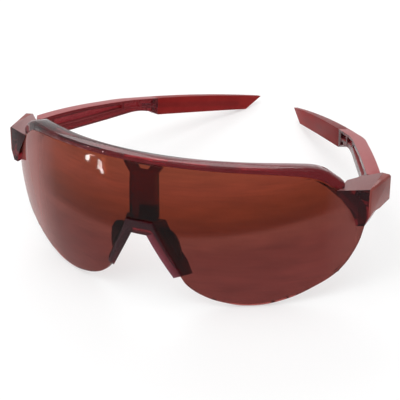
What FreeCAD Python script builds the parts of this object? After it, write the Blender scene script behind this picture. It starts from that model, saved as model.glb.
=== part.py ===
import FreeCAD, Part
import os
from math import atan2, cos, degrees, radians, sin, sqrt, tan

# Sport shield sunglasses, in millimetres.
# They are drawn as worn: X across, Y from the lens back to the ears, Z up, with Y = 0 at the middle
# of the lens front. At the end they are tipped on to the lens edge and an arm tip, as they lie on a
# table, with the origin under the middle of their box. Left is the wearer's left, the side of +X.

vector = FreeCAD.Vector
across = vector(1, 0, 0)
back = vector(0, 1, 0)
up = vector(0, 0, 1)

# General values
overrun = 2.0
fit_gap = 0.08
mesh_step = 0.05

# Lens: a shell curved about a vertical and a horizontal axis
lens_radius = 92.0
lens_rise_radius = 120.0
lens_thickness = 2.0
lens_half_span = 73.5
lens_drop = 31.4
lens_seat_gap = 0.15
lens_edge_reach = 6.0

# The free rim of half the lens, from under the shoulder round the lobe and up into the notch, as
# shares of the half span and of the drop
lens_rim_shares = [
    (0.925, 0.250), (0.985, 0.135), (1.000, 0.000), (0.990, -0.170), (0.957, -0.380), (0.893, -0.595),
    (0.790, -0.765), (0.650, -0.925), (0.500, -1.000), (0.380, -0.982), (0.290, -0.925), (0.222, -0.835),
    (0.140, -0.600),
]
notch_top = 6.8
notch_top_half_width = 4.4
notch_low = 22.0
notch_low_half_width = 13.2
notch_corner_radius = 1.8

# Brow bar: sections along the lens curve
brow_end_inset = 7.5
brow_top = 16.8
brow_flat_cut = 0.1
brow_front = -0.3
brow_flange_gap = 1.12
brow_flange_thickness = 2.4
brow_front_bevel_depth = 0.9
brow_front_bevel_drop = 0.55
brow_back_bevel = 0.4

# Station along the bar, top, underside over the lens and lower edge of the rear flange,
# as shares of the half span and of the brow's top
brow_station_shares = [
    (0.000, 1.000, 0.900, 0.820), (0.380, 1.000, 0.896, 0.816), (0.680, 1.000, 0.872, 0.790),
    (0.790, 0.985, 0.836, 0.748), (0.870, 0.955, 0.768, 0.668), (0.940, 0.850, 0.618, 0.498),
    (1.000, 0.690, 0.430, 0.300),
]

# Centre post and its vent
post_half_width = 4.5
post_bottom = -4.2
post_thickness = 3.6
post_gusset_half_width = 8.0
post_gusset_drop = 4.4
vent_low_half_width = 2.1
vent_high_half_width = 3.0
vent_drop = 3.8
vent_height = 1.2
vent_fall = 0.45

# Endpiece on the side of +X: corners in plan as places from the end of the lens front, and its top,
# a plane that rises to the rear
end_tip_place = (-7.72, -6.94)
end_front_outer_place = (2.08, -2.44)
end_rear_outer_place = (4.08, 9.56)
end_rear_mid_place = (0.98, 10.16)
end_rear_inner_place = (-4.02, 5.36)
end_inner_place = (-7.32, 1.16)
end_top_front = 9.3
end_top_rear = 11.3
end_claw_bottom = -2.3

# Lower part of the endpiece as seen from the front, inner edge then outer edge, and from the side:
# distance from the end of the lens front, then height
claw_inner_places = [(-7.72, 8.6), (-3.62, 2.8), (-2.42, 0.2), (-1.82, -2.3)]
claw_outer_places = [(0.48, -2.3), (2.38, 2.0)]
claw_side_places = [(-1.24, -2.3), (1.16, -1.2), (3.36, 2.0), (9.56, 3.2)]

# Corner cap and its screw
cap_front_thickness = 0.6
cap_rear_thickness = 2.8
cap_thickness = 1.8
cap_top_bevel = 0.5
cap_boss_radius = 1.7
cap_boss_length = 3.4
cap_screw_behind = 1.56
cap_screw_z = 5.6
cap_screw_radius = 0.6
cap_screw_head_radius = 1.3
cap_screw_head_height = 0.8
cap_screw_depth = 2.6
cap_screw_skin = 0.25
thread_gap = 0.02

# Hinge, its pivot placed from the end of the lens front
pivot_place = (-3.32, 7.06)
hinge_web_overlap = 1.0
knuckle_radius = 2.0
knuckle_clearance = 0.2
hinge_top = 10.0
upper_ear_height = 1.9
lower_ear_height = 1.7
hinge_bottom = 3.5
washer_thickness = 0.25
washer_gap = 0.02
washer_radius = 1.8
hinge_screw_radius = 0.8
hinge_screw_head_radius = 1.4
hinge_screw_head_height = 0.8
hinge_running_gap = 0.04
insert_radius = 1.3
insert_height = 1.4
insert_skin = 0.3
hinge_screw_tip_gap = 0.35
driver_slot_width = 0.35
driver_slot_depth = 0.35

# Arm, in its own frame: pivot at the origin, front part along Y, outer face on the side of +X
arm_outer = 5.0
arm_thickness = 4.5
arm_mitre_gap = 0.2
arm_kink_y = 44.3
arm_kink_angle = 18.0
arm_kink_length = 9.0
arm_rear_length = 66.0
arm_rear_bow = 1.1
arm_tip_thickness = 1.3
grip_thickness = 3.8
grip_mid_thickness = 3.2

# Side view of the arm, top edge then lower edge, as shares of the bend's distance and of the hinge's top
arm_top_shares = [(0.00, 1.00), (0.55, 1.00), (1.00, 0.84), (1.40, 0.69), (1.85, 0.47)]
arm_low_shares = [(0.00, 0.33), (0.55, 0.30), (0.98, 0.33), (1.12, 0.33), (1.22, 0.23), (1.30, 0.05)]
grip_start_behind = 13.3
grip_slant = 0.5
tip_low_inset = 9.6
tip_low_z = -3.3
tip_high_inset = 2.67
tip_high_z = 1.35

# Inner channel of the arm
channel_start_y = 8.0
channel_end_inset = 3.2
channel_depth = 2.3
channel_top_wall = 1.3
channel_low_wall = 2.6

# Windows in the arm's inner face at the bend: start behind the bend's corner, length, drop below the
# arm's top edge, height
window_places = [(-1.9, 6.8, 0.9, 2.1), (5.9, 5.2, 0.9, 2.1), (8.6, 2.6, 3.9, 1.5)]
window_depth = 1.1

# Tongue and metal core in the arm's end
tongue_length = 9.0
tongue_thickness = 1.6
tongue_height = 3.4
wire_thickness = 0.8
wire_height = 1.8
wire_start_behind = 7.7
wire_end_inset = 12.07

# Nose piece: half of the carrier's front view, inner edge then outer edge; its inner and outer faces
# lean outward towards the rear
bridge_inner_edge = [(2.6, -8.7), (10.0, -22.9)]
bridge_outer_edge = [(12.3, -21.9), (5.6, -6.9), (4.6, -4.3)]
bridge_flare = 0.42
bridge_cover = 0.8
bridge_depth = 4.8
clip_half_width = 2.6
clip_height = 3.4
clip_drop = 1.7
clip_thickness = 1.3
pad_gap = 0.3

# Nose pad: the outer side of its wing and of its rear rim from the top down, each point a place across
# and a height
pad_wing_edge = [(4.0, -5.0), (8.0, -3.8), (11.8, -4.4), (14.1, -7.8), (14.9, -12.0), (14.7, -16.2),
                 (13.6, -20.0), (12.0, -22.8)]
pad_rim_edge = [(7.6, -8.2), (9.4, -9.4), (10.9, -11.8), (11.8, -14.6), (12.2, -17.2), (12.1, -19.0)]
pad_back = 7.2

# Folding, and the search for the angle at which the part rests
open_inward = 3.0
left_present_fold = 23.5
right_present_fold = 14.0
steepest_tilt = 45.0
tilt_halvings = 40

# Worked out from these values
lens_end_x = lens_radius * sin(lens_half_span / lens_radius)
lens_end_y = lens_radius - lens_radius * cos(lens_half_span / lens_radius)
brow_flange_front = lens_thickness + brow_flange_gap
brow_back = brow_flange_front + brow_flange_thickness
post_back = lens_thickness + post_thickness
arm_turn = radians(arm_kink_angle)
arm_tip_y = arm_kink_y + arm_rear_length * cos(arm_turn)
tip_low_y = arm_tip_y - tip_low_inset
tip_high_y = arm_tip_y - tip_high_inset
grip_start_y = arm_kink_y + grip_start_behind


def from_lens_end(place):
    """A place in plan given from the end of the lens front, in the part's own axes."""
    return lens_end_x + place[0], lens_end_y + place[1]


end_tip = from_lens_end(end_tip_place)
end_front_outer = from_lens_end(end_front_outer_place)
end_rear_outer = from_lens_end(end_rear_outer_place)
end_rear_mid = from_lens_end(end_rear_mid_place)
end_rear_inner = from_lens_end(end_rear_inner_place)
end_inner = from_lens_end(end_inner_place)
pivot_x, pivot_y = from_lens_end(pivot_place)
cap_screw_y = lens_end_y + cap_screw_behind


def lens_angle(arc):
    return arc / lens_radius


def lens_setback(height):
    return lens_rise_radius - sqrt(lens_rise_radius ** 2 - height ** 2)


def on_curve(arc, behind, height):
    """A point by its arc along the lens, its depth behind the lens front at mid height, its height."""
    reach = lens_radius - behind
    turn = lens_angle(arc)
    return vector(reach * sin(turn), lens_radius - reach * cos(turn), height)


def mirrored(shape):
    return shape.mirror(vector(), across)


def both_sides(shape):
    return shape.fuse(mirrored(shape))


def polygon_face(points):
    return Part.Face(Part.makePolygon(points + points[:1]))


def plan_prism(corners, low, high):
    face = polygon_face([vector(x, y, low) for x, y in corners])
    return face.extrude(up * (high - low))


def front_prism(corners, front, rear):
    face = polygon_face([vector(x, front, z) for x, z in corners])
    return face.extrude(back * (rear - front))


def side_prism(corners, inner, outer):
    face = polygon_face([vector(inner, y, z) for y, z in corners])
    return face.extrude(across * (outer - inner))


def spline_edge(points, steps):
    curve = Part.BSplineCurve()
    curve.interpolate(Points=points, Parameters=steps)
    return curve.toShape()


# Brow stations

def brow_stations():
    """Arc, top, underside and flange edge of each section of the right half and the left half."""
    half_span = lens_half_span - brow_end_inset
    half = [(share * half_span, top * brow_top, low * brow_top, flange * brow_top)
            for share, top, low, flange in brow_station_shares]
    other = [(-arc, top, low, flange) for arc, top, low, flange in half[:0:-1]]
    return other + half


# Lens

def lens_shell(front, rear):
    """The curved shell between two depths behind the lens front, before its outline is cut."""
    high = brow_top
    low = -lens_drop - overrun

    def section_point(behind, height):
        return vector(0, behind + lens_setback(height), height)

    front_edge = Part.Arc(*[section_point(front, z) for z in (low, 0, high)]).toShape()
    rear_edge = Part.Arc(*[section_point(rear, z) for z in (high, 0, low)]).toShape()
    top = Part.makeLine(section_point(front, high), section_point(rear, high))
    bottom = Part.makeLine(section_point(rear, low), section_point(front, low))
    face = Part.Face(Part.Wire([front_edge, top, rear_edge, bottom]))
    half_turn = degrees(lens_angle(lens_half_span + lens_edge_reach))
    centre = vector(0, lens_radius, 0)
    face.rotate(centre, up, -half_turn)
    return face.revolve(centre, up, half_turn * 2)


def lens_outline(extra):
    """Half of the outline as places along the arc and heights, grown by extra."""
    upper = [(arc, low - lens_seat_gap + extra) for arc, top, low, flange in brow_stations() if arc >= 0]
    rim = [(u * (lens_half_span + extra), z * (lens_drop + extra)) for u, z in lens_rim_shares]
    return upper[:-1] + rim


def lens_solid(extra):
    half = lens_outline(extra)
    steps = [0.0]
    for (u0, z0), (u1, z1) in zip(half, half[1:]):
        steps.append(steps[-1] + sqrt((u1 - u0) ** 2 + (z1 - z0) ** 2))
    faces = []
    for side in (1, -1):
        edges = []
        for behind in (-lens_edge_reach, lens_edge_reach + lens_thickness):
            points = [on_curve(side * u, behind, z) for u, z in half]
            edges.append(spline_edge(points, steps))
        faces.append(Part.makeRuledSurface(edges[0], edges[1]))
    foot_arc, foot_height = half[-1]
    closing = []
    for behind in (-lens_edge_reach, lens_edge_reach + lens_thickness):
        ends = [on_curve(-foot_arc, behind, foot_height), on_curve(foot_arc, behind, foot_height)]
        closing.append(Part.makeLine(*ends))
    faces.append(Part.makeRuledSurface(closing[0], closing[1]))
    pieces, parents = lens_shell(-extra, lens_thickness + extra).generalFuse(faces)
    middle = on_curve(lens_half_span / 2, lens_thickness / 2, 0)
    lens = [piece for piece in pieces.Solids if piece.isInside(middle, fit_gap, False)][0]
    return lens.cut(notch_prism(extra))


def notch_prism(extra):
    slope = (notch_low_half_width - notch_top_half_width) / (notch_low - notch_top)
    low_z = -lens_drop - overrun
    low_x = notch_top_half_width - slope * (low_z + notch_top)
    half_low = low_x - extra
    half_high = notch_top_half_width - extra
    corners = [(-half_low, low_z), (half_low, low_z), (half_high, -notch_top - extra),
               (-half_high, -notch_top - extra)]
    prism = front_prism(corners, -lens_edge_reach, lens_edge_reach * 2)
    top_edges = [edge for edge in prism.Edges
                 if abs(edge.BoundBox.ZMin - edge.BoundBox.ZMax) < fit_gap
                 and edge.BoundBox.ZMin > low_z + overrun and edge.BoundBox.XLength < fit_gap]
    return prism.makeFillet(notch_corner_radius, top_edges)


# Front frame

def brow_bar():
    sections = []
    for arc, top, low, flange in brow_stations():
        outline = [
            (brow_front, low), (brow_front, top - brow_front_bevel_drop),
            (brow_front + brow_front_bevel_depth, top), (brow_back - brow_back_bevel, top),
            (brow_back, top - brow_back_bevel), (brow_back, flange),
            (brow_flange_front, flange), (brow_flange_front, low),
        ]
        points = [on_curve(arc, behind + lens_setback(brow_top), height) for behind, height in outline]
        sections.append(Part.makePolygon(points + points[:1]))
    bar = Part.makeLoft(sections, True, False)
    flat_z = brow_top - brow_flat_cut
    reach = lens_radius
    trim = Part.makeBox(reach * 2, reach, overrun, vector(-reach, -overrun, flat_z))
    return bar.cut(trim)


def centre_post():
    top = brow_top * brow_station_shares[0][2]
    gusset_z = top - post_gusset_drop
    corners = [
        (-post_half_width, post_bottom), (post_half_width, post_bottom), (post_half_width, gusset_z),
        (post_gusset_half_width, top), (-post_gusset_half_width, top), (-post_half_width, gusset_z),
    ]
    return front_prism(corners, lens_thickness, post_back)


def vent():
    """A window through the post under the brow that falls towards the rear."""
    front, rear = lens_thickness / 2, post_back + overrun
    outlines = []
    for y in (front, rear):
        low = brow_top - vent_drop - (y - lens_thickness) * vent_fall
        high = low + vent_height
        outlines.append([(-vent_low_half_width, low), (vent_low_half_width, low),
                         (vent_high_half_width, high), (-vent_high_half_width, high)])
    return flared_loft(outlines[0], front, outlines[1], rear)


def end_top_plane(y):
    """Height of the endpiece's top at a distance along Y."""
    share = (y - end_tip[1]) / (end_rear_mid[1] - end_tip[1])
    return end_top_front + share * (end_top_rear - end_top_front)


def end_block():
    plan = [end_tip, end_front_outer, end_rear_outer, end_rear_mid, end_rear_inner, end_inner]
    high = end_top_rear + overrun
    low = end_claw_bottom - overrun
    block = plan_prism(plan, low, high)
    inner_x = end_tip[0] - overrun
    outer_x = end_rear_outer[0] + overrun
    front_y = end_tip[1] - overrun
    rear_y = end_rear_mid[1] + overrun
    front_view = [(inner_x, high), (inner_x, claw_inner_places[0][1])]
    front_view += [(lens_end_x + x, z) for x, z in claw_inner_places + claw_outer_places]
    front_view += [(outer_x, claw_outer_places[-1][1]), (outer_x, high)]
    side_view = [(front_y, end_claw_bottom)] + [(lens_end_y + y, z) for y, z in claw_side_places]
    side_view += [(rear_y, claw_side_places[-1][1]), (rear_y, end_top_plane(rear_y)),
                  (front_y, end_top_plane(front_y))]
    block = block.common(front_prism(front_view, front_y, rear_y))
    return block.common(side_prism(side_view, inner_x, outer_x))


def outer_direction():
    run = vector(end_rear_outer[0] - end_front_outer[0], end_rear_outer[1] - end_front_outer[1], 0)
    run.normalize()
    return vector(run.y, -run.x, 0)


def cap_cutter():
    """A slab that holds the corner's outer face, thin at the front and thick at the rear."""
    outward = outer_direction()
    along = vector(-outward.y, outward.x, 0)
    floor = end_claw_bottom - overrun
    front = vector(end_front_outer[0], end_front_outer[1], floor)
    rear = vector(end_rear_outer[0], end_rear_outer[1], floor)
    seam_front = front - outward * cap_front_thickness
    seam_rear = rear - outward * cap_rear_thickness
    seam_way = seam_rear - seam_front
    seam_way.normalize()
    face = polygon_face([
        seam_front - seam_way * overrun, seam_rear + seam_way * overrun,
        rear + (along + outward) * overrun, front + (outward - along) * overrun,
    ])
    return face.extrude(up * (end_top_rear - end_claw_bottom + overrun * 2))


def cap_screw_axis():
    """The place on the outer face over the cap's screw, and the way out."""
    outward = outer_direction()
    share = (cap_screw_y - end_front_outer[1]) / (end_rear_outer[1] - end_front_outer[1])
    x = end_front_outer[0] + share * (end_rear_outer[0] - end_front_outer[0])
    return vector(x, cap_screw_y, cap_screw_z), outward


def cap_cylinder(radius, depth, length):
    """A cylinder on the cap screw's axis that starts at a depth under the outer face and runs inward."""
    place, outward = cap_screw_axis()
    return Part.makeCylinder(radius, length, place - outward * depth, -outward)


def ear_levels():
    upper = (hinge_top - upper_ear_height, hinge_top)
    lower = (hinge_bottom, hinge_bottom + lower_ear_height)
    return lower, upper


def knuckle_levels():
    lower, upper = ear_levels()
    play = washer_thickness + washer_gap * 2
    return lower[1] + play, upper[0] - play


def pivot_cylinder(radius, low, high):
    return Part.makeCylinder(radius, high - low, vector(pivot_x, pivot_y, low), up)


def hinge_ears():
    """The upper and lower ear, each a round end on a web that runs into the endpiece."""
    ears = []
    for low, high in ear_levels():
        disc = pivot_cylinder(knuckle_radius, low, high)
        web = plan_prism([
            (pivot_x - knuckle_radius, pivot_y),
            (end_inner[0] + hinge_web_overlap, end_inner[1] + hinge_web_overlap),
            end_rear_inner, (pivot_x, pivot_y),
        ], low, high)
        ears.append(disc.fuse(web))
    return ears


def front_frame_solid(lens_cutter):
    frame = brow_bar().fuse(centre_post())
    frame = frame.fuse(both_sides(end_block().cut(cap_cutter())))
    for ear in hinge_ears():
        frame = frame.fuse(both_sides(ear))
    frame = frame.cut(lens_cutter).cut(vent())
    low, high = knuckle_levels()
    play = washer_thickness + washer_gap * 2
    pocket = pivot_cylinder(knuckle_radius + knuckle_clearance, low - play, high + play)
    frame = frame.cut(both_sides(pocket))
    shank = pivot_cylinder(hinge_screw_radius + hinge_running_gap, hinge_bottom - overrun,
                           hinge_top - insert_skin - insert_height)
    head = pivot_cylinder(hinge_screw_head_radius + hinge_running_gap, hinge_bottom - overrun,
                          hinge_bottom + hinge_screw_head_height)
    insert = pivot_cylinder(insert_radius, hinge_top - insert_skin - insert_height,
                            hinge_top - insert_skin)
    frame = frame.cut(both_sides(shank.fuse(head).fuse(insert)))
    boss = cap_cylinder(cap_boss_radius + fit_gap, 0, cap_thickness + cap_boss_length + fit_gap)
    screw = cap_cylinder(cap_screw_radius + fit_gap, 0, lens_half_span)
    seat_depth = cap_thickness + cap_boss_length + cap_screw_depth - cap_screw_head_height
    seat = cap_cylinder(cap_screw_head_radius + fit_gap, seat_depth, lens_half_span / 2)
    return frame.cut(both_sides(boss.fuse(seat))).cut(both_sides(screw.common(end_block())))


def corner_cap_solid():
    cap = end_block().common(cap_cutter())
    outer_edges = [edge for edge in cap.Edges if on_outer_top(edge)]
    cap = cap.makeChamfer(cap_top_bevel, outer_edges)
    boss = cap_cylinder(cap_boss_radius, cap_thickness / 2, cap_thickness / 2 + cap_boss_length)
    bore_depth = cap_thickness / 2
    bore = cap_cylinder(cap_screw_radius + thread_gap, bore_depth, cap_thickness + cap_boss_length)
    return cap.fuse(boss).cut(bore)


def on_outer_top(edge):
    """Whether an edge is the one between the endpiece's top and its outer face."""
    outward = outer_direction()
    face_place = vector(end_front_outer[0], end_front_outer[1], 0)
    for vertex in edge.Vertexes:
        point = vertex.Point
        beyond = (point.x - face_place.x) * outward.x + (point.y - face_place.y) * outward.y
        if abs(beyond) > mesh_step or abs(point.z - end_top_plane(point.y)) > mesh_step:
            return False
    return True


def cap_screw_solid():
    seat_depth = cap_thickness + cap_boss_length + cap_screw_depth - cap_screw_head_height
    shank_start = cap_thickness / 2 + cap_screw_skin
    shank = cap_cylinder(cap_screw_radius, shank_start, seat_depth - shank_start)
    head = cap_cylinder(cap_screw_head_radius, seat_depth, cap_screw_head_height)
    return shank.fuse(head)


# Hinge pieces

def hinge_screw_solid():
    top = hinge_top - insert_skin - hinge_screw_tip_gap
    shank = pivot_cylinder(hinge_screw_radius, hinge_bottom, top)
    head = pivot_cylinder(hinge_screw_head_radius, hinge_bottom, hinge_bottom + hinge_screw_head_height)
    slot = Part.makeBox(hinge_screw_head_radius * 2, driver_slot_width, driver_slot_depth,
                        vector(pivot_x - hinge_screw_head_radius, pivot_y - driver_slot_width / 2,
                               hinge_bottom))
    return shank.fuse(head).cut(slot)


def hinge_insert_solid():
    low = hinge_top - insert_skin - insert_height
    body = pivot_cylinder(insert_radius, low, hinge_top - insert_skin)
    return body.cut(pivot_cylinder(hinge_screw_radius + thread_gap, low - overrun, hinge_top))


def hinge_washer_solid(start):
    ring = pivot_cylinder(washer_radius, start, start + washer_thickness)
    bore = pivot_cylinder(hinge_screw_radius + hinge_running_gap, start - overrun, start + overrun)
    return ring.cut(bore)


def low_washer_solid():
    return hinge_washer_solid(knuckle_levels()[0] - washer_gap - washer_thickness)


def high_washer_solid():
    return hinge_washer_solid(knuckle_levels()[1] + washer_gap)


# Arm, in its own frame

def arm_plan():
    """The outer and inner edges of the arm seen from above, closed into one face."""
    turn = arm_turn
    bend_in = vector(arm_outer, arm_kink_y - arm_kink_length / 2, 0)
    corner = vector(arm_outer, arm_kink_y, 0)
    rear_way = vector(-sin(turn), cos(turn), 0)
    bend_out = corner + rear_way * (arm_kink_length / 2)
    tip = corner + rear_way * arm_rear_length
    outward = vector(cos(turn), sin(turn), 0)
    rear_mid = (bend_out + tip) * (1 / 2) + outward * arm_rear_bow
    inward = -outward
    inner_tip = tip + inward * arm_tip_thickness
    inner_mid = rear_mid + inward * grip_mid_thickness
    inner_bend_out = bend_out + inward * grip_thickness
    inner_x = arm_outer - arm_thickness
    inner_bend_in = vector(inner_x, bend_in.y, 0)
    start_y = -knuckle_radius
    bend = Part.BezierCurve()
    bend.setPoles([bend_in, corner, bend_out])
    inner_bend = Part.BezierCurve()
    inner_corner = vector(inner_x, arm_kink_y - arm_thickness * tan(turn / 2), 0)
    inner_bend.setPoles([inner_bend_out, inner_corner, inner_bend_in])
    edges = [
        Part.makeLine(vector(inner_x, start_y, 0), vector(arm_outer, start_y, 0)),
        Part.makeLine(vector(arm_outer, start_y, 0), bend_in),
        bend.toShape(),
        Part.Arc(bend_out, rear_mid, tip).toShape(),
        Part.makeLine(tip, inner_tip),
        Part.Arc(inner_tip, inner_mid, inner_bend_out).toShape(),
        inner_bend.toShape(),
        Part.makeLine(inner_bend_in, vector(inner_x, start_y, 0)),
    ]
    return Part.Face(Part.Wire(edges))


def arm_edge(shares):
    return [(along * arm_kink_y, height * hinge_top) for along, height in shares]


def edge_height(shares, y):
    """Height of the arm's top or lower edge at a distance along Y."""
    points = arm_edge(shares)
    for (y0, z0), (y1, z1) in zip(points, points[1:]):
        if y <= y1:
            break
    return z0 + (y - y0) / (y1 - y0) * (z1 - z0)


def arm_side():
    """The arm seen from the side, as a face in the plane of Y and Z."""
    inner = -lens_radius
    top_points = [vector(inner, y, z) for y, z in arm_edge(arm_top_shares)]
    low_points = [vector(inner, y, z) for y, z in arm_edge(arm_low_shares)]
    start_y = -knuckle_radius * 2
    top_start = vector(inner, start_y, top_points[0].z)
    low_start = vector(inner, start_y, low_points[0].z)
    top = Part.BSplineCurve()
    top.interpolate(top_points + [vector(inner, tip_high_y, tip_high_z)])
    low = Part.BSplineCurve()
    low.interpolate(low_points)
    edges = [
        Part.makeLine(top_start, top_points[0]),
        top.toShape(),
        Part.makeLine(vector(inner, tip_high_y, tip_high_z), vector(inner, tip_low_y, tip_low_z)),
        Part.makeLine(vector(inner, tip_low_y, tip_low_z), low_points[-1]),
        low.toShape(),
        Part.makeLine(low_points[0], low_start),
        Part.makeLine(low_start, top_start),
    ]
    wire = Part.Wire(Part.__sortEdges__(edges))
    return Part.Face(wire)


def arm_envelope():
    plan = arm_plan()
    plan.translate(up * (tip_low_z - overrun))
    body = plan.extrude(up * (hinge_top - tip_low_z + overrun * 2))
    side = arm_side().extrude(across * (lens_radius * 2))
    return body.common(side)


def grip_region():
    """Everything behind the slanted joint between the arm and its grip."""
    reach = lens_radius
    face = polygon_face([
        vector(-reach, grip_start_y - grip_slant, tip_low_z - overrun),
        vector(-reach, grip_start_y + grip_slant, hinge_top + overrun),
        vector(-reach, grip_start_y + reach, hinge_top + overrun),
        vector(-reach, grip_start_y + reach, tip_low_z - overrun),
    ])
    return face.extrude(across * (reach * 2))


def rear_thickness(share):
    """Thickness of the arm at a share of the way from its bend to its tip."""
    straight = grip_thickness + share * (arm_tip_thickness - grip_thickness)
    middle_extra = grip_mid_thickness - (grip_thickness + arm_tip_thickness) / 2
    return straight + middle_extra * hump(share)


def hump(share):
    """A curve that is nothing at both ends and one half way."""
    return share * (1 - share) * 4


def rear_share(y):
    start_y = arm_kink_y + arm_kink_length / 2 * cos(arm_turn)
    return (y - start_y) / (arm_tip_y - start_y)


def arm_middle(y):
    """The middle of the rear part at a distance along Y, across and in height."""
    share = rear_share(y)
    outer_x = arm_outer - (y - arm_kink_y) * tan(arm_turn) + arm_rear_bow * hump(share) / cos(arm_turn)
    fall_share = (y - arm_kink_y) / (tip_low_y - arm_kink_y)
    start_z = (arm_edge(arm_top_shares)[2][1] + arm_edge(arm_low_shares)[2][1]) / 2
    end_z = (tip_high_z + tip_low_z) / 2
    x = outer_x - rear_thickness(share) / 2 / cos(arm_turn)
    return vector(x, y, start_z + fall_share * (end_z - start_z))


def bar_between(start, end, inner, outer, height):
    """A flat bar between two points, reaching across from inner to outer of them."""
    inner_edge = across * inner
    outer_edge = across * outer
    rise = up * (height / 2)
    face = polygon_face([start + inner_edge - rise, start + outer_edge - rise,
                         start + outer_edge + rise, start + inner_edge + rise])
    return face.extrude(end - start)


def bar_along(start_y, end_y, thickness, height):
    return bar_between(arm_middle(start_y), arm_middle(end_y), -thickness / 2, thickness / 2, height)


def arm_tongue():
    return bar_along(grip_start_y - grip_slant * 2, grip_start_y + tongue_length, tongue_thickness,
                     tongue_height)


def arm_wire():
    return bar_along(arm_kink_y + wire_start_behind, arm_tip_y - wire_end_inset, wire_thickness,
                     wire_height)


def arm_channel():
    inner_x = arm_outer - arm_thickness
    stations = [channel_start_y, arm_edge(arm_top_shares)[1][0], arm_kink_y - channel_end_inset]
    top = [(y, edge_height(arm_top_shares, y) - channel_top_wall) for y in stations]
    low = [(y, edge_height(arm_low_shares, y) + channel_low_wall) for y in stations]
    return side_prism(top + low[::-1], inner_x - overrun, inner_x + channel_depth)


def inner_face_x(y):
    """How far across the arm's inner face is, at a distance along Y from the bend back."""
    bend_start = arm_kink_y - arm_kink_length / 2
    bend_end = arm_kink_y + arm_kink_length / 2 * cos(arm_turn)
    rear_y = max(y, bend_end)
    rear_x = arm_middle(rear_y).x - rear_thickness(rear_share(rear_y)) / 2 / cos(arm_turn)
    share = (min(y, bend_end) - bend_start) / (bend_end - bend_start)
    front_x = arm_outer - arm_thickness
    return front_x + (rear_x - front_x) * share ** 2


def arm_windows():
    windows = []
    for start_behind, length, drop, height in window_places:
        ends = []
        for y in (arm_kink_y + start_behind, arm_kink_y + start_behind + length):
            middle_z = edge_height(arm_top_shares, y) - drop - height / 2
            ends.append(vector(inner_face_x(y), y, middle_z))
        windows.append(bar_between(ends[0], ends[1], -overrun, window_depth, height))
    return windows


def mitre_wedge():
    """What lies in front of the arm's slanted end, which meets the endpiece's rear when the arm is open."""
    run_x = end_rear_mid[0] - end_rear_inner[0]
    run_y = end_rear_mid[1] - end_rear_inner[1]
    to_pivot = (pivot_x - end_rear_inner[0], pivot_y - end_rear_inner[1])
    pivot_distance = (run_x * to_pivot[1] - run_y * to_pivot[0]) / sqrt(run_x ** 2 + run_y ** 2)
    turn = atan2(run_y, run_x) - radians(open_inward)
    way = vector(cos(turn), sin(turn), 0)
    rear = vector(-sin(turn), cos(turn), 0)
    start = rear * (arm_mitre_gap - pivot_distance) - way * (knuckle_radius * 2)
    end = start + way * (arm_outer * 3)
    low = tip_low_z - overrun
    face = polygon_face([
        vector(start.x, start.y, low), vector(end.x, end.y, low),
        vector(end.x, end.y - arm_kink_y, low), vector(start.x, start.y - arm_kink_y, low),
    ])
    return face.extrude(up * (hinge_top - low + overrun))


def arm_cylinder(radius, low, high):
    return Part.makeCylinder(radius, high - low, vector(0, 0, low), up)


def arm_solid():
    low, high = knuckle_levels()
    body = arm_envelope().cut(grip_region()).cut(mitre_wedge())
    clear = knuckle_radius + knuckle_clearance
    body = body.cut(arm_cylinder(clear, high, hinge_top + overrun))
    body = body.cut(arm_cylinder(clear, tip_low_z, low))
    body = body.fuse(arm_cylinder(knuckle_radius, low, high))
    body = body.fuse(arm_tongue())
    bore = arm_cylinder(hinge_screw_radius + hinge_running_gap, low - overrun, high + overrun)
    return body.cut([bore, arm_channel(), arm_wire()] + arm_windows())


def grip_solid():
    return arm_envelope().common(grip_region()).cut(arm_tongue()).cut(arm_wire())


# Nose piece

def flared_loft(front_corners, front, rear_corners, rear):
    wires = []
    for corners, y in ((front_corners, front), (rear_corners, rear)):
        points = [vector(x, y, z) for x, z in corners]
        wires.append(Part.makePolygon(points + points[:1]))
    return Part.makeLoft(wires, True, True)


def bridge_solid(lens_cutter):
    half = bridge_inner_edge + bridge_outer_edge
    corners = half + [(-x, z) for x, z in reversed(half)]
    spread = bridge_flare * (pad_back + bridge_cover)
    rear_half = [(x + spread, z) for x, z in half]
    rear_corners = rear_half + [(-x, z) for x, z in reversed(rear_half)]
    body = flared_loft(corners, -bridge_cover, rear_corners, pad_back)
    body = body.common(lens_shell(-bridge_cover, bridge_depth))
    top = bridge_outer_edge[-1][1]
    clip = Part.makeBox(clip_half_width * 2, clip_thickness, clip_height,
                        vector(-clip_half_width, post_back, top))
    foot = Part.makeBox(clip_half_width * 2, post_back + clip_thickness - lens_thickness * 2, clip_drop,
                        vector(-clip_half_width, lens_thickness * 2, top - clip_drop))
    return body.fuse(clip).fuse(foot).cut(lens_cutter)


def bridge_inner_x(z):
    (high_x, high_z), (low_x, low_z) = bridge_inner_edge
    return high_x + (z - high_z) / (low_z - high_z) * (low_x - high_x)


def pad_outline(outer_edge, spread, y):
    """A closed outline at one depth: a smooth outer side, and a straight inner side on the leg."""
    high_x, high_z = outer_edge[0]
    low_x, low_z = outer_edge[-1]
    side = Part.BSplineCurve()
    side.interpolate([vector(x, y, z) for x, z in outer_edge])
    high = vector(high_x, y, high_z)
    low = vector(low_x, y, low_z)
    inner_high = vector(bridge_inner_x(high_z) + spread, y, high_z)
    inner_low = vector(bridge_inner_x(low_z) + spread, y, low_z)
    return Part.Wire([side.toShape(), Part.makeLine(low, inner_low), Part.makeLine(inner_low, inner_high),
                      Part.makeLine(inner_high, high)])


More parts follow.
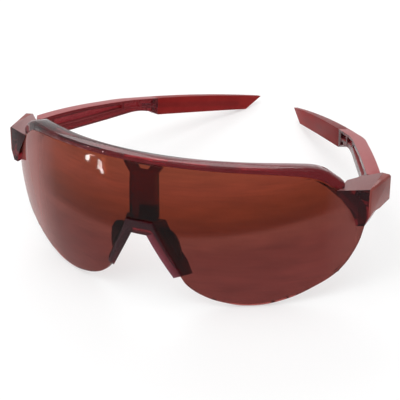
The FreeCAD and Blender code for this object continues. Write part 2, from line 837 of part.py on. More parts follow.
def nose_pad_solid(bridge):
    """A soft pad: a wing behind the lens and a contact body that narrows to its rear rim."""
    near = lens_thickness + pad_gap
    spread = bridge_flare * (pad_back + bridge_cover)
    front = pad_outline(pad_wing_edge, 0, -bridge_cover)
    rear = pad_outline(pad_rim_edge, spread, pad_back)
    body = Part.makeLoft([front, rear], True, True)
    body = body.common(lens_shell(near, lens_thickness + pad_back))
    return body.cut(bridge)


# Assembly

def pose_left(shape):
    """Set an arm piece of the left side at its present fold."""
    placed = shape.copy()
    placed.rotate(vector(), up, open_inward + left_present_fold)
    placed.translate(vector(pivot_x, pivot_y, 0))
    return placed


def pose_right(shape):
    placed = shape.copy()
    placed.rotate(vector(), up, open_inward + right_present_fold)
    placed.translate(vector(pivot_x, pivot_y, 0))
    return mirrored(placed)


def lowest_after_tilt(points, tilt):
    turn = radians(tilt)
    return min(point.z * cos(turn) - point.y * sin(turn) for point in points)


def resting_tilt(lens, grips):
    """The angle at which the lens and the lower of the arm tips touch the table together."""
    lens_points = lens.tessellate(mesh_step)[0]
    grip_points = [point for grip in grips for point in grip.tessellate(mesh_step)[0]]
    low, high = 0.0, steepest_tilt
    for _ in range(tilt_halvings):
        tilt = (low + high) / 2
        if lowest_after_tilt(grip_points, tilt) > lowest_after_tilt(lens_points, tilt):
            low = tilt
        else:
            high = tilt
    return tilt


def build_worn():
    lens_cutter = lens_solid(fit_gap)
    bridge = bridge_solid(lens_cutter)
    pad = nose_pad_solid(bridge)
    parts = {
        "front_frame": front_frame_solid(lens_cutter),
        "lens": lens_solid(0),
        "nose_bridge": bridge,
        "nose_pad_left": pad,
        "nose_pad_right": mirrored(pad),
    }
    fixed = {
        "corner_cap": corner_cap_solid().cut(lens_cutter),
        "cap_screw": cap_screw_solid(),
        "hinge_screw": hinge_screw_solid(),
        "hinge_insert": hinge_insert_solid(),
        "hinge_washer_low": low_washer_solid(),
        "hinge_washer_high": high_washer_solid(),
    }
    for name, shape in fixed.items():
        parts[name + "_left"] = shape
        parts[name + "_right"] = mirrored(shape)
    moving = {"temple_arm": arm_solid(), "temple_grip": grip_solid(), "temple_wire": arm_wire()}
    for name, shape in moving.items():
        parts[name + "_left"] = pose_left(shape)
        parts[name + "_right"] = pose_right(shape)
    return parts


def rest_placement(parts):
    tilt = resting_tilt(parts["lens"], [parts["temple_grip_left"], parts["temple_grip_right"]])
    turned = FreeCAD.Placement(vector(), FreeCAD.Rotation(across, -tilt))
    points = []
    for shape in parts.values():
        points += [turned.multVec(point) for point in shape.tessellate(mesh_step)[0]]
    middle_x = (min(p.x for p in points) + max(p.x for p in points)) / 2
    middle_y = (min(p.y for p in points) + max(p.y for p in points)) / 2
    floor = min(p.z for p in points)
    return FreeCAD.Placement(vector(-middle_x, -middle_y, -floor), FreeCAD.Rotation(across, -tilt)), tilt


def main():
    os.makedirs("parts", exist_ok=True)
    parts = build_worn()
    placement, tilt = rest_placement(parts)
    for name, shape in parts.items():
        placed = shape.copy()
        placed.transformShape(placement.toMatrix())
        placed.exportStep("parts/" + name + ".step")
        volume = round(placed.Volume, 1)
        print(name, "solids", len(placed.Solids), "valid", placed.isValid(), "volume", volume)
    print("tilt", round(tilt, 3))


main()
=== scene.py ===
from math import cos, radians, sin, sqrt

import bmesh
import bpy
from mathutils import Matrix, Vector


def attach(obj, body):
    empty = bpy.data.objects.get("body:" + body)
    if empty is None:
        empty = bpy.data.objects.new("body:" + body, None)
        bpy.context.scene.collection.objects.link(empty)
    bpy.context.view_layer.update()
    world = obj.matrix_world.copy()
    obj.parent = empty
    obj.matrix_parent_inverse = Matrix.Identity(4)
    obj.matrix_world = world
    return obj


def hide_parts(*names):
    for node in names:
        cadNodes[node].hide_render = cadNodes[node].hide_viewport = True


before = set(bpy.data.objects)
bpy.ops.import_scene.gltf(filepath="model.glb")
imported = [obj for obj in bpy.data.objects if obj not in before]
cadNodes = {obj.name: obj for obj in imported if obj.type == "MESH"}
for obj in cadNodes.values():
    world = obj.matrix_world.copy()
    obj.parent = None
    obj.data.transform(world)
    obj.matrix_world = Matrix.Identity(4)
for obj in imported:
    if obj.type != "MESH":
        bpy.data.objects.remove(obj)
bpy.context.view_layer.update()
scene = bpy.context.scene
mm = 0.001

# Most values of a noise texture lie between these.
noiseLow = 0.3
noiseHigh = 0.7

# The glasses lie tipped on the lens edge and the arm tips. Shapes are drawn as worn, then tipped.
placing = {"tilt": 14.12143, "lift": (0.0, -61.68929, 33.62468)}
toTable = (Matrix.Translation(Vector(placing["lift"]) * mm)
           @ Matrix.Rotation(radians(-placing["tilt"]), 4, "X") @ Matrix.Scale(mm, 4))


# Colour and node helpers

def hexColour(code):
    channels = [int(code[i:i + 2], 16) / 255 for i in (1, 3, 5)]
    linear = [c / 12.92 if c <= 0.04045 else ((c + 0.055) / 1.055) ** 2.4 for c in channels]
    return (*linear, 1.0)


def addNode(tree, kind, settings=None, links=None):
    node = tree.nodes.new(kind)
    for name, value in (settings or {}).items():
        if isinstance(name, str) and hasattr(node, name):
            setattr(node, name, value)
        else:
            node.inputs[name].default_value = value
    for name, source in (links or {}).items():
        tree.links.new(source, node.inputs[name])
    return node


def newMaterial(name):
    material = bpy.data.materials.new(name)
    material.use_nodes = True
    material.node_tree.nodes.clear()
    return material, material.node_tree


def setRamp(node, stops):
    ramp = node.color_ramp
    while len(ramp.elements) < len(stops):
        ramp.elements.new(0.5)
    for element, (place, code) in zip(ramp.elements, stops):
        element.position = place
        element.color = hexColour(code)


# Materials, with sizes in mm. The real skins' grain and the tool marks are finer than the sizes here,
# and are drawn as coarse as they need to be to show.

nylonGrain = {"flowLow": 0.35, "flowHigh": 0.65, "flowDetail": 3.0, "detail": 2.0, "depth": 0.02}


# Injection moulded transparent nylon, dyed burgundy: thin walls glow pink, thick ones go nearly black.
# The index of each is matched, below nylon's own 1.5, so that light passes as straight as it shows.
def burgundyNylon(name, values):
    material, tree = newMaterial(name)
    place = addNode(tree, "ShaderNodeTexCoord")
    flow = addNode(tree, "ShaderNodeTexNoise",
                   {"Scale": 1 / (values["flowSize"] * mm), "Detail": nylonGrain["flowDetail"]},
                   {"Vector": place.outputs["Object"]})
    tone = addNode(tree, "ShaderNodeValToRGB", {}, {"Fac": flow.outputs["Fac"]})
    setRamp(tone, [(nylonGrain["flowLow"], values["dark"]), (nylonGrain["flowHigh"], values["light"])])
    polish = addNode(tree, "ShaderNodeMapRange",
                     {"From Min": noiseLow, "From Max": noiseHigh, "To Min": values["roughLow"],
                      "To Max": values["roughHigh"]}, {"Value": flow.outputs["Fac"]})
    grain = addNode(tree, "ShaderNodeTexNoise",
                    {"Scale": 1 / (values["grainSize"] * mm), "Detail": nylonGrain["detail"]},
                    {"Vector": place.outputs["Object"]})
    bump = addNode(tree, "ShaderNodeBump",
                   {"Strength": values["grainHeight"], "Distance": nylonGrain["depth"] * mm},
                   {"Height": grain.outputs["Fac"]})
    shader = addNode(tree, "ShaderNodeBsdfPrincipled", {
        "IOR": values["index"], "Transmission Weight": values["clear"],
    }, {"Base Color": tone.outputs["Color"], "Roughness": polish.outputs["Result"],
        "Normal": bump.outputs["Normal"]})
    dye = addNode(tree, "ShaderNodeVolumeAbsorption",
                  {"Color": hexColour(values["dye"]), "Density": values["dyePerMm"] / mm})
    addNode(tree, "ShaderNodeOutputMaterial", {},
            {"Surface": shader.outputs[0], "Volume": dye.outputs[0]})
    return material


# The frame, from a polished mould: a glossy brow bar, rosy where it is thin and dark in the corners.
frameNylon = burgundyNylon("polishedBurgundyNylon", {
    "dark": "#8c4e58", "light": "#9c5862", "flowSize": 9.0, "roughLow": 0.064, "roughHigh": 0.1,
    "grainSize": 0.5, "grainHeight": 0.05, "clear": 0.94, "index": 1.2, "dye": "#d83046",
    "dyePerMm": 0.45,
})

# The nose carrier, with more dye in it: nearly black right through, wine red at its thin edges.
bridgeNylon = burgundyNylon("deepBurgundyNylon", {
    "dark": "#804856", "light": "#8e5260", "flowSize": 9.0, "roughLow": 0.064, "roughHigh": 0.1,
    "grainSize": 0.5, "grainHeight": 0.05, "clear": 0.92, "index": 1.26, "dye": "#c82c46",
    "dyePerMm": 0.65,
})

# The corner caps, clouded with filler: brick rose, with only some light through them.
capNylon = burgundyNylon("cloudyBurgundyNylon", {
    "dark": "#8c4642", "light": "#a0544e", "flowSize": 9.0, "roughLow": 0.096, "roughHigh": 0.15,
    "grainSize": 0.5, "grainHeight": 0.05, "clear": 0.3, "index": 1.18, "dye": "#e03438",
    "dyePerMm": 0.22,
})

# The arms, from a finely etched mould: a satin sheen over deep wine red.
armNylon = burgundyNylon("satinBurgundyNylon", {
    "dark": "#a04c56", "light": "#b05862", "flowSize": 9.0, "roughLow": 0.16, "roughHigh": 0.25,
    "grainSize": 0.4, "grainHeight": 0.12, "clear": 0.9, "index": 1.22, "dye": "#cc2a38",
    "dyePerMm": 0.62,
})

# The grips, thermoplastic elastomer moulded to the arm ends: smooth, dull and brick red.
gripElastomer = burgundyNylon("mouldedBurgundyElastomer", {
    "dark": "#982c2c", "light": "#a63432", "flowSize": 7.0, "roughLow": 0.288, "roughHigh": 0.45,
    "grainSize": 0.3, "grainHeight": 0.3, "clear": 0.6, "index": 1.16, "dye": "#d83030",
    "dyePerMm": 0.4,
})


# Polycarbonate sheet with a red brown tint and a painted reflection: dusty below, warmer above a band that
# follows the curve, where floor and room are mirrored. Its faint level streaks are partly flow, partly
# painted reflection of the room. Where the sheet wraps round, it turns rosy and less clear: a painted
# grazing reflection.
def paintedReflectionLensTint(name, values):
    material, tree = newMaterial(name)
    place = addNode(tree, "ShaderNodeTexCoord")
    parts = addNode(tree, "ShaderNodeSeparateXYZ", {}, {"Vector": place.outputs["Object"]})
    # The curved band and the heights: a painted reflection, the bright floor below it and the darker room
    # above.
    offCentre = addNode(tree, "ShaderNodeMath", {"operation": "SUBTRACT", 1: values["bandCentre"] * mm},
                        {0: parts.outputs["X"]})
    across = addNode(tree, "ShaderNodeMath", {"operation": "MULTIPLY"},
                     {0: offCentre.outputs[0], 1: offCentre.outputs[0]})
    smile = addNode(tree, "ShaderNodeMath", {"operation": "MULTIPLY_ADD", 1: -values["bandCurve"] / mm},
                    {0: across.outputs[0], 2: parts.outputs["Z"]})
    # The level streaks: partly flow marks, partly a painted reflection of the room.
    stretched = addNode(tree, "ShaderNodeMapping", {"Scale": values["streakStretch"]},
                        {"Vector": place.outputs["Object"]})
    streaks = addNode(tree, "ShaderNodeTexNoise",
                      {"Scale": 1 / (values["streakSize"] * mm), "Detail": values["streakDetail"]},
                      {"Vector": stretched.outputs["Vector"]})
    ragged = addNode(tree, "ShaderNodeMath", {"operation": "MULTIPLY_ADD", 1: values["bandRagged"] * mm},
                     {0: streaks.outputs["Fac"], 2: smile.outputs[0]})
    level = addNode(tree, "ShaderNodeMapRange",
                    {"From Min": values["lowHeight"] * mm, "From Max": values["highHeight"] * mm},
                    {"Value": ragged.outputs[0]})
    tone = addNode(tree, "ShaderNodeValToRGB", {}, {"Fac": level.outputs["Result"]})
    setRamp(tone, values["tintsAndPaintedReflection"])
    thread = addNode(tree, "ShaderNodeMapRange",
                     {"From Min": noiseLow, "From Max": noiseHigh, "To Min": values["threadLow"],
                      "To Max": values["threadHigh"]}, {"Value": streaks.outputs["Fac"]})
    tint = addNode(tree, "ShaderNodeVectorMath", {"operation": "SCALE"},
                   {0: tone.outputs["Color"], "Scale": thread.outputs["Result"]})
    # Towards the sides the tint turns rosy and less clear: a painted reflection of light at grazing
    # angles.
    aside = addNode(tree, "ShaderNodeMath", {"operation": "SUBTRACT", 1: values["wrapCentre"] * mm},
                    {0: parts.outputs["X"]})
    fromMiddle = addNode(tree, "ShaderNodeMath", {"operation": "ABSOLUTE"}, {0: aside.outputs[0]})
    wrap = addNode(tree, "ShaderNodeMapRange",
                   {"From Min": values["wrapStart"] * mm, "From Max": values["wrapEnd"] * mm},
                   {"Value": fromMiddle.outputs[0]})
    withPaintedEdgeReflection = addNode(tree, "ShaderNodeMix", {"data_type": "RGBA", 7: hexColour(values["paintedEdgeReflection"])},
                     {0: wrap.outputs["Result"], 6: tint.outputs["Vector"]})
    clearness = addNode(tree, "ShaderNodeMapRange", {"To Min": 1.0, "To Max": values["paintedEdgeClear"]},
                        {"Value": wrap.outputs["Result"]})
    smear = addNode(tree, "ShaderNodeTexNoise",
                    {"Scale": 1 / (values["smearSize"] * mm), "Detail": values["smearDetail"]},
                    {"Vector": place.outputs["Object"]})
    polish = addNode(tree, "ShaderNodeMapRange",
                     {"From Min": noiseLow, "From Max": noiseHigh, "To Min": values["roughLow"],
                      "To Max": values["roughHigh"]}, {"Value": smear.outputs["Fac"]})
    bump = addNode(tree, "ShaderNodeBump",
                   {"Strength": values["waveHeight"], "Distance": values["waveDepth"] * mm},
                   {"Height": smear.outputs["Fac"]})
    shader = addNode(tree, "ShaderNodeBsdfPrincipled", {
        "IOR": values["index"],
    }, {"Base Color": withPaintedEdgeReflection.outputs[2], "Roughness": polish.outputs["Result"],
        "Transmission Weight": clearness.outputs["Result"], "Normal": bump.outputs["Normal"]})
    addNode(tree, "ShaderNodeOutputMaterial", {}, {"Surface": shader.outputs[0]})
    return material


# Each tint stands at its share of the way from the low height above the table to the high one; the change
# with height is the painted reflection of floor and room.
lensPaintedReflection = paintedReflectionLensTint("tintedPolycarbonatePaintedReflection", {
    "lowHeight": 0.0, "highHeight": 50.0, "bandCentre": -10.0, "bandCurve": 0.0014, "bandRagged": 1.2,
    "tintsAndPaintedReflection": [(0.0, "#7a3a36"), (0.36, "#6e322c"), (0.485, "#783a30"), (0.52, "#5e2012"),
              (0.59, "#662614"), (0.66, "#6e2a16"), (0.8, "#803624"), (1.0, "#823e2a")],
    "streakSize": 1.4, "streakStretch": (0.12, 0.12, 1.0), "streakDetail": 4.0,
    "threadLow": 0.8, "threadHigh": 1.16,
    "wrapCentre": 9.0, "wrapStart": 46.0, "wrapEnd": 58.0, "paintedEdgeReflection": "#96544e", "paintedEdgeClear": 0.35,
    "smearSize": 14.0, "smearDetail": 3.0, "roughLow": 0.02, "roughHigh": 0.05,
    "waveHeight": 0.15, "waveDepth": 0.4, "index": 1.2,
})

dullGrain = {"size": 0.4, "detail": 3.0, "height": 0.25, "depth": 0.05}


# Rubber or nylon with a dull skin: one even colour, softened by a fine grain; also the painted lit tops.
def dullSkinAndPaintedLitTop(name, values):
    material, tree = newMaterial(name)
    place = addNode(tree, "ShaderNodeTexCoord")
    grain = addNode(tree, "ShaderNodeTexNoise",
                    {"Scale": 1 / (dullGrain["size"] * mm), "Detail": dullGrain["detail"]},
                    {"Vector": place.outputs["Object"]})
    tone = addNode(tree, "ShaderNodeValToRGB", {}, {"Fac": grain.outputs["Fac"]})
    setRamp(tone, [(noiseLow, values["dark"]), (noiseHigh, values["light"])])
    bump = addNode(tree, "ShaderNodeBump",
                   {"Strength": dullGrain["height"], "Distance": dullGrain["depth"] * mm},
                   {"Height": grain.outputs["Fac"]})
    shader = addNode(tree, "ShaderNodeBsdfPrincipled", {
        "IOR": values["index"], "Roughness": values["rough"],
    }, {"Base Color": tone.outputs["Color"], "Normal": bump.outputs["Normal"]})
    addNode(tree, "ShaderNodeOutputMaterial", {}, {"Surface": shader.outputs[0]})
    return material


# The endpieces' upward faces get this lighter, opaque mauve copy of the frame nylon: painted light on
# their tops.
framePaintedLitTop = dullSkinAndPaintedLitTop("mauveNylonPaintedLitTop", {
    "dark": "#744c4c", "light": "#825858", "rough": 0.3, "index": 1.2,
})

# The arms' upward faces get this lighter, pinker and a little duller copy of the arm nylon: painted light
# on their tops.
armPaintedLitTop = dullSkinAndPaintedLitTop("pinkNylonPaintedLitTop", {
    "dark": "#8e4244", "light": "#9e5052", "rough": 0.35, "index": 1.2,
})

# The nose pads, moulded silicone rubber: warm grey and soft to look at.
padRubber = dullSkinAndPaintedLitTop("mouldedGreySilicone", {
    "dark": "#7e6a6c", "light": "#90787c", "rough": 0.5, "index": 1.5,
})

# The washers, punched from undyed nylon: the white of bone.
washerNylon = dullSkinAndPaintedLitTop("punchedWhiteNylon", {
    "dark": "#c2bfb8", "light": "#d6d3cc", "rough": 0.4, "index": 1.5,
})

turnedMarks = {"size": 0.25, "detail": 4.0}


# Metal turned on an automatic lathe: bright, with faint tool marks.
def turnedMetal(name, values):
    material, tree = newMaterial(name)
    place = addNode(tree, "ShaderNodeTexCoord")
    marks = addNode(tree, "ShaderNodeTexNoise",
                    {"Scale": 1 / (turnedMarks["size"] * mm), "Detail": turnedMarks["detail"]},
                    {"Vector": place.outputs["Object"]})
    polish = addNode(tree, "ShaderNodeMapRange",
                     {"From Min": noiseLow, "From Max": noiseHigh, "To Min": values["roughLow"],
                      "To Max": values["roughHigh"]}, {"Value": marks.outputs["Fac"]})
    shader = addNode(tree, "ShaderNodeBsdfPrincipled", {
        "Base Color": hexColour(values["colour"]), "Metallic": 1.0,
    }, {"Roughness": polish.outputs["Result"]})
    addNode(tree, "ShaderNodeOutputMaterial", {}, {"Surface": shader.outputs[0]})
    return material


# Stainless steel for the screws and the arms' cores: cool and grey.
screwSteel = turnedMetal("turnedSteel", {"colour": "#b9babc", "roughLow": 0.175, "roughHigh": 0.35})

# Brass for the threaded inserts: a dull gold.
insertBrass = turnedMetal("turnedBrass", {"colour": "#c9a35a", "roughLow": 0.21, "roughHigh": 0.42})
print("materials made")


# Mesh helpers, with lengths in mm and angles in degrees

meshValues = {
    "weld": 0.002, "finishWeld": 0.0005, "flatAngle": 0.6, "sliver": 0.01, "sharpAngle": 28.0,
    "roundSegments": 3, "smoothAngle": 30.0,
}


def solidMesh(node):
    shape = bmesh.new()
    shape.from_mesh(cadNodes[node].data)
    bmesh.ops.remove_doubles(shape, verts=shape.verts, dist=meshValues["weld"] * mm)
    return shape


def flattened(shape):
    bmesh.ops.dissolve_limit(shape, angle_limit=radians(meshValues["flatAngle"]), verts=shape.verts,
                             edges=shape.edges)
    bmesh.ops.dissolve_degenerate(shape, dist=meshValues["sliver"] * mm, edges=shape.edges)
    return shape


def roundEdges(shape, width):
    least = radians(meshValues["sharpAngle"])
    sharp = [edge for edge in shape.edges
             if len(edge.link_faces) == 2 and edge.calc_face_angle(0.0) > least]
    bmesh.ops.bevel(shape, geom=sharp, offset=width * mm, affect="EDGES",
                    segments=meshValues["roundSegments"], profile=0.5, material=-1, clamp_overlap=True)
    return shape


def finishPiece(shape, name, material, body, nodes, smoothAngle=meshValues["smoothAngle"], skin=None):
    bmesh.ops.remove_doubles(shape, verts=shape.verts, dist=meshValues["finishWeld"] * mm)
    bmesh.ops.recalc_face_normals(shape, faces=shape.faces)
    for face in shape.faces:
        face.smooth = True
    for edge in shape.edges:
        edge.smooth = len(edge.link_faces) == 2 and edge.calc_face_angle(0.0) < radians(smoothAngle)
    mesh = bpy.data.meshes.new(name)
    shape.to_mesh(mesh)
    shape.free()
    piece = bpy.data.objects.new(name, mesh)
    scene.collection.objects.link(piece)
    mesh.materials.append(material)
    # The second material is a lighter copy for faces that catch the light: painted light.
    if skin:
        mesh.materials.append(skin)
    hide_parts(*nodes)
    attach(piece, body)


def smoothLine(points, steps):
    curve = bpy.data.curves.new("guide", "CURVE")
    curve.dimensions = "3D"
    curve.resolution_u = steps
    spline = curve.splines.new("BEZIER")
    spline.bezier_points.add(len(points) - 1)
    for knot, point in zip(spline.bezier_points, points):
        knot.co = point
        knot.handle_left_type = "AUTO"
        knot.handle_right_type = "AUTO"
    holder = bpy.data.objects.new("guide", curve)
    mesh = bpy.data.meshes.new_from_object(holder)
    line = [vertex.co.copy() for vertex in mesh.vertices]
    bpy.data.objects.remove(holder)
    bpy.data.curves.remove(curve)
    bpy.data.meshes.remove(mesh)
    return line


def outerShell(shape):  # leaves the skin and drops the sockets that stay closed inside it
    shape.verts.index_update()
    shells = []
    seen = set()
    for start in shape.verts:
        if start in seen:
            continue
        seen.add(start)
        shell, waiting = [], [start]
        while waiting:
            vert = waiting.pop()
            shell.append(vert)
            for edge in vert.link_edges:
                other = edge.other_vert(vert)
                if other not in seen:
                    seen.add(other)
                    waiting.append(other)
        shells.append(shell)
    skin = max(shells, key=len)
    inner = [vert for shell in shells if shell is not skin for vert in shell]
    bmesh.ops.delete(shape, geom=inner, context="VERTS")
    return shape


# Front frame, corner caps and nose carrier, with the soft edges of moulded parts, in mm

frontPieces = {
    "front_frame": (0.3, frameNylon),
    "nose_bridge": (0.25, bridgeNylon),
    "corner_cap_left": (0.25, capNylon),
    "corner_cap_right": (0.25, capNylon),
}
endpieceTop = {"fromMiddle": 55.0, "facing": 0.9}  # where the frame's painted lit tops start, and how level
for node, (width, material) in frontPieces.items():
    shape = roundEdges(flattened(solidMesh(node)), width)
    for face in shape.faces:
        farOut = abs(face.calc_center_median().x) > endpieceTop["fromMiddle"] * mm
        # Far out and facing up: the lighter copy, painted light on the endpiece tops.
        isPaintedLitTop = node == "front_frame" and farOut and face.normal.z > endpieceTop["facing"]
        face.material_index = 1 if isPaintedLitTop else 0
    finishPiece(shape, node + "_moulded", material, "front", [node],
                skin=framePaintedLitTop if node == "front_frame" else None)
print("front pieces made")


# Arms and grips, cut at the slanted joint so that no tongue or socket shows through the clear plastic

armValues = {
    "pivot": (62.606, 34.887), "openInward": 3.0, "fold": {"left": 23.5, "right": 14.0},
    "jointY": 57.6, "jointZ": 3.35, "jointRun": 1.0, "jointRise": 17.3, "jointTrim": 0.02,
    "cutReach": 0.0005, "armRound": 0.5, "gripRound": 0.55, "paintedLitTopFacing": 0.55,
}


def armFrame(side):
    fold = radians(armValues["openInward"] + armValues["fold"][side])
    inPlan = Matrix.Translation((*armValues["pivot"], 0.0)) @ Matrix.Rotation(fold, 4, "Z")
    if side == "right":
        inPlan = Matrix.Scale(-1.0, 4, (1.0, 0.0, 0.0)) @ inPlan
    return toTable @ inPlan


def cutAtJoint(shape, side, keepRear):
    trim = armValues["jointTrim"] * (1 if keepRear else -1)
    place = armFrame(side) @ Vector((0.0, armValues["jointY"] + trim, armValues["jointZ"]))
    rearward = Vector((0.0, armValues["jointRise"], -armValues["jointRun"]))
    normal = (armFrame(side).to_3x3() @ rearward).normalized()
    bmesh.ops.bisect_plane(shape, geom=[*shape.verts, *shape.edges, *shape.faces],
                           dist=armValues["cutReach"] * mm, plane_co=place, plane_no=normal,
                           clear_outer=not keepRear, clear_inner=keepRear)
    outerShell(shape)
    rim = [edge for edge in shape.edges if edge.is_boundary]
    bmesh.ops.holes_fill(shape, edges=rim, sides=0)
    return shape


for side in ("left", "right"):
    body = side + "_temple"
    arm = cutAtJoint(solidMesh("temple_arm_" + side), side, False)
    arm = roundEdges(flattened(arm), armValues["armRound"])
    upward = (armFrame(side).to_3x3() @ Vector((0.0, 0.0, 1.0))).normalized()
    for face in arm.faces:
        # Faces turned up get the lighter copy: painted light on the arms' tops.
        face.material_index = 1 if face.normal.dot(upward) > armValues["paintedLitTopFacing"] else 0
    finishPiece(arm, "temple_arm_" + side + "_moulded", armNylon, body, ["temple_arm_" + side],
                skin=armPaintedLitTop)
    grip = cutAtJoint(solidMesh("temple_grip_" + side), side, True)
    grip = roundEdges(flattened(grip), armValues["gripRound"])
    finishPiece(grip, "temple_grip_" + side + "_moulded", gripElastomer, body, ["temple_grip_" + side])
print("arms made")


# Lens, drawn flat as arc, depth and height, cut into small cells, then bent both ways

lensValues = {
    "radius": 92.0, "riseRadius": 120.0, "thickness": 2.0, "halfSpan": 73.5, "drop": 31.4,
    "topSpan": 66.0, "browTop": 16.8, "seatGap": 0.15,
    "topShares": [(0.0, 0.9), (0.38, 0.896), (0.68, 0.872), (0.79, 0.836), (0.87, 0.768), (0.94, 0.618)],
    "rimShares": [(0.925, 0.25), (0.985, 0.135), (1.0, 0.0), (0.99, -0.17), (0.957, -0.38),
                  (0.893, -0.595), (0.79, -0.765), (0.65, -0.925), (0.5, -1.0), (0.38, -0.982),
                  (0.29, -0.925), (0.222, -0.835)],
    "notchFoot": (14.75, -24.7), "notchCorner": (4.4, -6.8), "notchRound": 1.04,
    "notchSegments": 5, "curveSteps": 5, "cell": 1.6, "cutReach": 0.01, "rimAngle": 60.0,
    "edgeRound": 0.35, "edgeSegments": 3, "smoothAngle": 40.0,
}


def bent(point):
    arc, behind, height = point
    rise = lensValues["riseRadius"] - sqrt(lensValues["riseRadius"] ** 2 - height ** 2)
    reach = lensValues["radius"] - behind - rise
    turn = arc / lensValues["radius"]
    return toTable @ Vector((reach * sin(turn), lensValues["radius"] - reach * cos(turn), height))


def lensFace(values):
    top = [(u * values["topSpan"], z * values["browTop"] - values["seatGap"])
           for u, z in values["topShares"]]
    rim = [(u * values["halfSpan"], z * values["drop"]) for u, z in values["rimShares"]]
    half = top + rim + [values["notchFoot"]]
    both = [(-u, z) for u, z in reversed(half[1:])] + half
    outline = smoothLine([(u, 0.0, z) for u, z in both], values["curveSteps"])
    cornerU, cornerZ = values["notchCorner"]
    outline += [Vector((cornerU, 0.0, cornerZ)), Vector((-cornerU, 0.0, cornerZ))]
    shape = bmesh.new()
    verts = [shape.verts.new(point) for point in outline]
    shape.faces.new(verts)
    bmesh.ops.bevel(shape, geom=verts[-2:], offset=values["notchRound"], affect="VERTICES",
                    segments=values["notchSegments"], profile=0.5, material=-1)
    return shape


def cutCells(shape, axis, start, end, values):
    for i in range(1, int((end - start) / values["cell"]) + 1):
        place = Vector((0.0, 0.0, 0.0))
        place[axis] = start + i * values["cell"]
        normal = Vector((0.0, 0.0, 0.0))
        normal[axis] = 1.0
        bmesh.ops.bisect_plane(shape, geom=[*shape.verts, *shape.edges, *shape.faces],
                               dist=values["cutReach"], plane_co=place, plane_no=normal)


def lensPiece(values):
    shape = lensFace(values)
    cutCells(shape, 0, -values["halfSpan"], values["halfSpan"], values)
    cutCells(shape, 2, -values["drop"], values["browTop"], values)
    grown = bmesh.ops.extrude_face_region(shape, geom=list(shape.faces))
    rear = [item for item in grown["geom"] if isinstance(item, bmesh.types.BMVert)]
    bmesh.ops.translate(shape, verts=rear, vec=(0.0, values["thickness"], 0.0))
    # Only the two rims: the short edges that cross the sheet stay sharp.
    rim = [edge for edge in shape.edges
           if len(edge.link_faces) == 2 and edge.calc_face_angle(0.0) > radians(values["rimAngle"])
           and abs(edge.verts[0].co.y - edge.verts[1].co.y) < values["edgeRound"]]
    bmesh.ops.bevel(shape, geom=rim, offset=values["edgeRound"], affect="EDGES",
                    segments=values["edgeSegments"], profile=0.5, material=-1)
    for vert in shape.verts:
        vert.co = bent(vert.co)
    return shape


finishPiece(lensPiece(lensValues), "lens_polished", lensPaintedReflection, "front", ["lens"],
            lensValues["smoothAngle"])
print("lens made")


# Nose pads, with every edge melted round as on soft rubber

padValues = {"voxel": 0.3, "softenFactor": 0.5, "softenPasses": 10, "smoothAngle": 180.0}


def softPad(node, values):
    draft = bpy.data.objects.new("draft", bpy.data.meshes.new("draft"))
    scene.collection.objects.link(draft)
    shape = solidMesh(node)
    shape.to_mesh(draft.data)
    shape.free()
    melt = draft.modifiers.new("melt", "REMESH")
    melt.mode = "VOXEL"
    melt.voxel_size = values["voxel"] * mm
    soften = draft.modifiers.new("soften", "SMOOTH")
    soften.factor = values["softenFactor"]
    soften.iterations = values["softenPasses"]
    made = bpy.data.meshes.new_from_object(draft.evaluated_get(bpy.context.evaluated_depsgraph_get()))
    shape = bmesh.new()
    shape.from_mesh(made)
    bpy.data.objects.remove(draft)
    return shape


for side in ("left", "right"):
    node = "nose_pad_" + side
    finishPiece(softPad(node, padValues), node + "_soft", padRubber, "front", [node],
                padValues["smoothAngle"])
print("pads made")


# Hardware keeps its own solids

hardware = {
    "cap_screw": screwSteel, "hinge_screw": screwSteel, "hinge_insert": insertBrass,
    "hinge_washer_low": washerNylon, "hinge_washer_high": washerNylon, "temple_wire": screwSteel,
}
for name, material in hardware.items():
    for side in ("left", "right"):
        cadMesh = cadNodes[name + "_" + side].data
        cadMesh.materials.clear()
        cadMesh.materials.append(material)
print("hardware finished")


# Camera, floor and light

cameraValues = {
    "place": (168.947, -305.959, 231.999), "turn": (55.9846, 6.2163, 26.7196), "lens": 101.31,
    "sensor": 36.0, "clipStart": 0.01,
}
lightValues = {
    "ambient": 0.55, "background": 1.0, "floorHalf": 2.0, "floorGlow": 0.5, "shadowReach": 0.12,
    "whiteReach": 0.6,
}

cameraData = bpy.data.cameras.new("photoCamera")
cameraData.lens = cameraValues["lens"]
cameraData.sensor_width = cameraValues["sensor"]
cameraData.sensor_fit = "HORIZONTAL"
cameraData.clip_start = cameraValues["clipStart"]
camera = bpy.data.objects.new("photoCamera", cameraData)
camera.location = [v * mm for v in cameraValues["place"]]
camera.rotation_euler = [radians(v) for v in cameraValues["turn"]]
scene.collection.objects.link(camera)
scene.camera = camera


def seesBackdrop(tree):  # one for the rays that see the backdrop, straight, mirrored or through glass
    rays = addNode(tree, "ShaderNodeLightPath")
    mirrored = addNode(tree, "ShaderNodeMath", {"operation": "MAXIMUM"},
                       {0: rays.outputs["Is Camera Ray"], 1: rays.outputs["Is Glossy Ray"]})
    return addNode(tree, "ShaderNodeMath", {"operation": "MAXIMUM"},
                   {0: mirrored.outputs[0], 1: rays.outputs["Is Transmission Ray"]})


world = bpy.data.worlds.new("studio")
world.use_nodes = True
worldTree = world.node_tree
worldTree.nodes.clear()
strength = addNode(worldTree, "ShaderNodeMapRange",
                   {"To Min": lightValues["ambient"], "To Max": lightValues["background"]},
                   {"Value": seesBackdrop(worldTree).outputs[0]})
sky = addNode(worldTree, "ShaderNodeBackground", {"Color": hexColour("#ffffff")},
              {"Strength": strength.outputs["Result"]})
addNode(worldTree, "ShaderNodeOutputWorld", {}, {"Surface": sky.outputs[0]})
scene.world = world

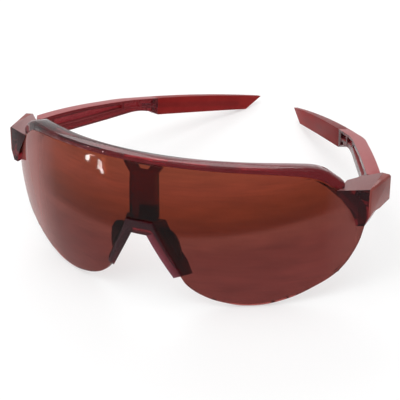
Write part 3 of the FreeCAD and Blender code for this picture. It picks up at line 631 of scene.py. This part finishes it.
floorMesh = bpy.data.meshes.new("floor")
floorShape = bmesh.new()
bmesh.ops.create_grid(floorShape, x_segments=1, y_segments=1, size=lightValues["floorHalf"])
floorShape.to_mesh(floorMesh)
floorShape.free()
floor = bpy.data.objects.new("floor", floorMesh)
scene.collection.objects.link(floor)

# Matt white paper: a faint shadow near the glasses, and plain white further out.
floorMaterial, floorTree = newMaterial("mattWhitePaper")
paper = addNode(floorTree, "ShaderNodeBsdfDiffuse", {"Color": hexColour("#f8f8f8")})
glow = addNode(floorTree, "ShaderNodeEmission", {"Color": hexColour("#ffffff"), "Strength": 1.0})
spot = addNode(floorTree, "ShaderNodeTexCoord")
away = addNode(floorTree, "ShaderNodeVectorMath", {"operation": "LENGTH"}, {0: spot.outputs["Object"]})
spread = addNode(floorTree, "ShaderNodeMapRange",
                 {"From Min": lightValues["shadowReach"], "From Max": lightValues["whiteReach"],
                  "To Min": lightValues["floorGlow"], "To Max": 1.0}, {"Value": away.outputs["Value"]})
share = addNode(floorTree, "ShaderNodeMath", {"operation": "MULTIPLY"},
                {0: seesBackdrop(floorTree).outputs[0], 1: spread.outputs["Result"]})
floorShader = addNode(floorTree, "ShaderNodeMixShader", {},
                      {0: share.outputs[0], 1: paper.outputs[0], 2: glow.outputs[0]})
addNode(floorTree, "ShaderNodeOutputMaterial", {}, {"Surface": floorShader.outputs[0]})
floorMesh.materials.append(floorMaterial)

# The panes are small and near, for the glints on the lens. Places are in metres.
lamps = {
    "overhead": {"place": (0.0, -0.1, 0.9), "size": 0.9, "power": 4.6, "aim": (0, 0, 0.02)},
    "front": {"place": (-0.5, -0.8, 0.6), "size": 0.4, "power": 1.6, "aim": (0, -0.03, 0.02)},
    "rear": {"place": (-0.43, 0.72, 0.57), "size": 0.6, "power": 3.4, "aim": (0, 0, 0.02)},
    "paneLow": {"place": (-0.28, -0.29, 0.03), "size": 0.02, "power": 0.05,
                "aim": (-0.015, -0.057, 0.045)},
    "paneHigh": {"place": (-0.32, -0.27, 0.06), "size": 0.02, "power": 0.05,
                 "aim": (-0.015, -0.057, 0.045)},
    "paneLeft": {"place": (-0.351, -0.28, 0.028), "size": 0.018, "power": 0.06,
                 "aim": (-0.021, -0.055, 0.046)},
    "paneFoot": {"place": (-0.308, -0.328, 0.016), "size": 0.012, "power": 0.02,
                 "aim": (-0.014, -0.058, 0.042)},
}
for name, values in lamps.items():
    lampData = bpy.data.lights.new(name, "AREA")
    lampData.size = values["size"]
    lampData.energy = values["power"]
    lamp = bpy.data.objects.new(name, lampData)
    lamp.location = values["place"]
    aim = Vector(values["aim"]) - Vector(values["place"])
    lamp.rotation_euler = aim.to_track_quat("-Z", "Y").to_euler()
    scene.collection.objects.link(lamp)

scene.view_settings.view_transform = "Standard"
print("stage set")
